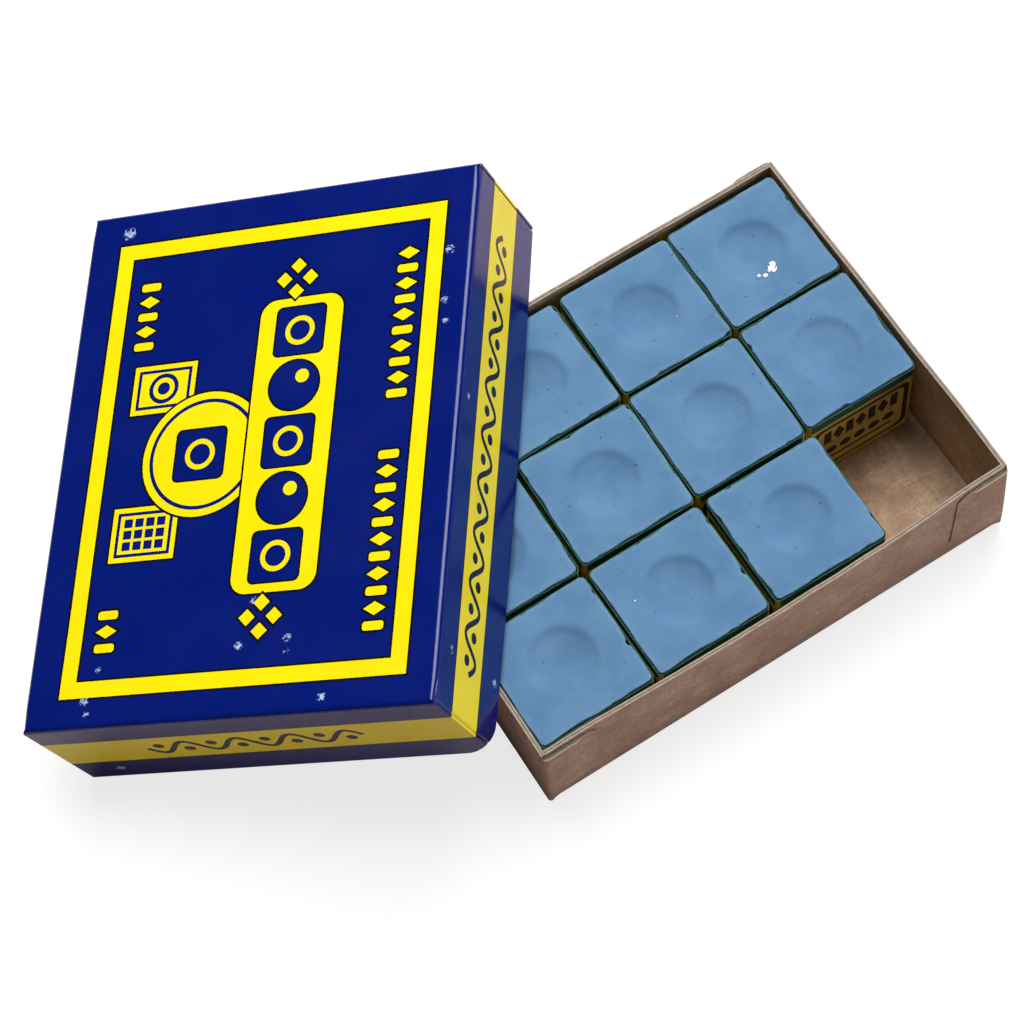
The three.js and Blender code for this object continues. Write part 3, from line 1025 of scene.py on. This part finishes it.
def make_block(place_name, material):
    node = f"chalk_{place_name}"
    place, (width, _, height) = node_place(node)
    phase = random.Random(place_name).uniform(0, 100)
    half = width / 2 + SWELL
    top = height - TOP_DROP
    run = 8 * (half - BLOCK_CORNER) + 2 * math.pi * BLOCK_CORNER
    # The wear values hold how near each point is to the top edge, where the chalk is painted paler as a
    # highlight.
    verts, wear_and_painted_light, speck = [], [], []
    flecks = SPECKS.get(place_name, ())

    def rim(k, inset):
        point, outward = round_square(half, BLOCK_CORNER, run * k / AROUND)
        chip = max(0.0, noise.noise(Vector((point.x * 0.45, point.y * 0.45, phase))) - 0.34)
        wave = max(0.0, noise.noise(Vector((point.x * 0.22, point.y * 0.22, phase + 3))) + 0.1)
        return point - outward * (inset + 0.02 + 0.4 * wave + 1.3 * chip), chip

    def add(x, y, z, worn_and_edge_lit):
        verts.append((x, y, z))
        wear_and_painted_light.append(worn_and_edge_lit)
        near = [smooth(math.dist((x, y), f[:2]), f[2] * 1.3, f[2] * 0.4) for f in flecks]
        speck.append(max(near, default=0.0))

    add(0, 0, top - dimple(0), 0)
    for ring in range(1, TOP_RINGS + 1):
        share = ring / TOP_RINGS
        for k in range(AROUND):
            corner, chip = rim(k, BLOCK_EDGE)
            square = corner * share
            circle = corner.normalized() * (half - BLOCK_EDGE) * share
            point = circle.lerp(square, smooth(share, 0.45, 1.0))
            lump = 0.03 * noise.noise(Vector((point.x * 0.35, point.y * 0.35, phase + 20)))
            fall = 0.5 * chip * smooth(share, 0.9, 1.0)
            add(point.x, point.y, top + lump - fall - dimple(point.length), smooth(share, 0.93, 1.0))
    turns = [math.pi / 2 * k / EDGE_RINGS for k in range(1, EDGE_RINGS + 1)]
    drops = [BLOCK_EDGE * (1 - math.cos(turn)) for turn in turns]
    insets = [BLOCK_EDGE * (1 - math.sin(turn)) for turn in turns]
    drops += [*SIDE_DROPS, *(height - rise for rise in FOOT_RISES)]
    insets += [0, 0, 0, 0, FOOT_INSET]
    for drop, inset in zip(drops, insets):
        for k in range(AROUND):
            point, chip = rim(k, inset)
            calm = smooth(drop, 0.8, 2.6)
            plain, outward = round_square(half, BLOCK_CORNER, run * k / AROUND)
            point = point.lerp(plain - outward * (inset + 0.04), calm)
            fall = 0.5 * chip * (1 - calm)
            add(point.x, point.y, top - drop - fall, 1 - calm)
    add(0, 0, 0.05, 0)
    faces = [(0, 1 + k, 1 + (k + 1) % AROUND) for k in range(AROUND)]
    rings = TOP_RINGS + len(drops)
    for ring in range(rings - 1):
        first, second = 1 + ring * AROUND, 1 + (ring + 1) * AROUND
        for k in range(AROUND):
            after = (k + 1) % AROUND
            faces.append((first + k, second + k, second + after, first + after))
    base, final = 1 + (rings - 1) * AROUND, len(verts) - 1
    faces += [(base + (k + 1) % AROUND, base + k, final) for k in range(AROUND)]
    block = piece(
        f"chalk_block_{place_name}", verts, faces, [0] * len(faces), [material],
        {"wear_and_painted_light": wear_and_painted_light, "speck": speck}, place,
    )
    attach(block, f"cube_{place_name}")
    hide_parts(node)


def make_cubes():
    chalk_material = chalk("blue_chalk")
    label_materials = [
        label_ink("label_yellow", srgb(206, 184, 90), srgb(220, 204, 136)),
        label_ink("label_green", srgb(14, 84, 66), srgb(36, 104, 78)),
        label_ink("label_dark", srgb(44, 30, 20), srgb(96, 72, 38)),
        label_ink("label_back", srgb(190, 180, 150), srgb(205, 196, 170)),
        label_ink("label_cut", srgb(30, 92, 70), srgb(120, 124, 70)),
    ]
    for node in sorted(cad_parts):
        kind, _, place_name = node.partition("_")
        if kind == "chalk":
            make_block(place_name, chalk_material)
        if kind == "label":
            make_label(place_name, label_materials)


# ------------------------------------------------------------------ studio

CAMERA_PLACE = (-0.10184, -0.17343, 0.46291)
CAMERA_AIM = (-0.02574, 0.00848, 0.01204)
CAMERA_ROLL = -10.085
CAMERA_LENS = 99.31


def make_camera():
    data = bpy.data.cameras.new("camera")
    data.lens = CAMERA_LENS
    data.sensor_width = 36
    data.clip_start = 0.01
    camera = bpy.data.objects.new("camera", data)
    bpy.context.scene.collection.objects.link(camera)
    look = Vector(CAMERA_AIM) - Vector(CAMERA_PLACE)
    turn = look.to_track_quat("-Z", "Y").to_matrix().to_4x4()
    roll = Matrix.Rotation(math.radians(CAMERA_ROLL), 4, "Z")
    camera.matrix_world = Matrix.Translation(CAMERA_PLACE) @ turn @ roll
    bpy.context.scene.camera = camera


def area_light(name, toward, distance, size, power, colour):
    """A soft light over the set, in the given direction from it."""
    data = bpy.data.lights.new(name, "AREA")
    data.shape = "RECTANGLE"
    data.size, data.size_y = size
    data.energy = power
    data.color = colour
    light = bpy.data.objects.new(name, data)
    bpy.context.scene.collection.objects.link(light)
    away = Vector(toward).normalized() * distance
    light.matrix_world = Matrix.Translation(away) @ away.to_track_quat("Z", "Y").to_matrix().to_4x4()


def make_floor(name, height, colour, glow=0.0):
    bpy.ops.mesh.primitive_plane_add(size=6, location=(0, 0, height))
    floor = bpy.context.object
    floor.name = name
    floor.data.materials.append(stage_paint(name, colour, glow))
    return floor


def make_backdrop(name, radius, glow):
    bpy.ops.mesh.primitive_uv_sphere_add(segments=48, ring_count=24, radius=radius)
    backdrop = bpy.context.object
    backdrop.name = name
    backdrop.data.materials.append(stage_paint(name, srgb(60, 60, 60), glow))
    return backdrop


def make_studio():
    """A white floor and backdrop that only the camera sees, and a floor that lights the set from below."""
    shown = make_floor("studio_floor", -0.0002, srgb(140, 140, 140), 0.78)
    for stage in (shown, make_backdrop("studio_backdrop", 2.8, 0.88)):
        stage.visible_diffuse = False
        stage.visible_glossy = False
        stage.visible_shadow = False
    bounce = make_floor("studio_floor_bounce", -0.0004, srgb(218, 203, 198))
    bounce.visible_camera = False
    area_light("key_light", (0.2, 0.36, 0.91), 1.1, (0.85, 0.85), 20, (1, 0.99, 0.97))
    area_light("side_light", (0.8, -0.55, 0.3), 1.2, (0.5, 0.4), 4.7, (1, 0.98, 0.95))
    world = bpy.data.worlds.new("studio_world")
    world.use_nodes = True
    world.node_tree.nodes["Background"].inputs["Color"].default_value = (0.95, 0.97, 1, 1)
    world.node_tree.nodes["Background"].inputs["Strength"].default_value = 0.07
    bpy.context.scene.world = world
    bpy.context.scene.view_settings.view_transform = "Standard"


make_camera()
make_studio()
make_tray()
make_lid()
make_cubes()
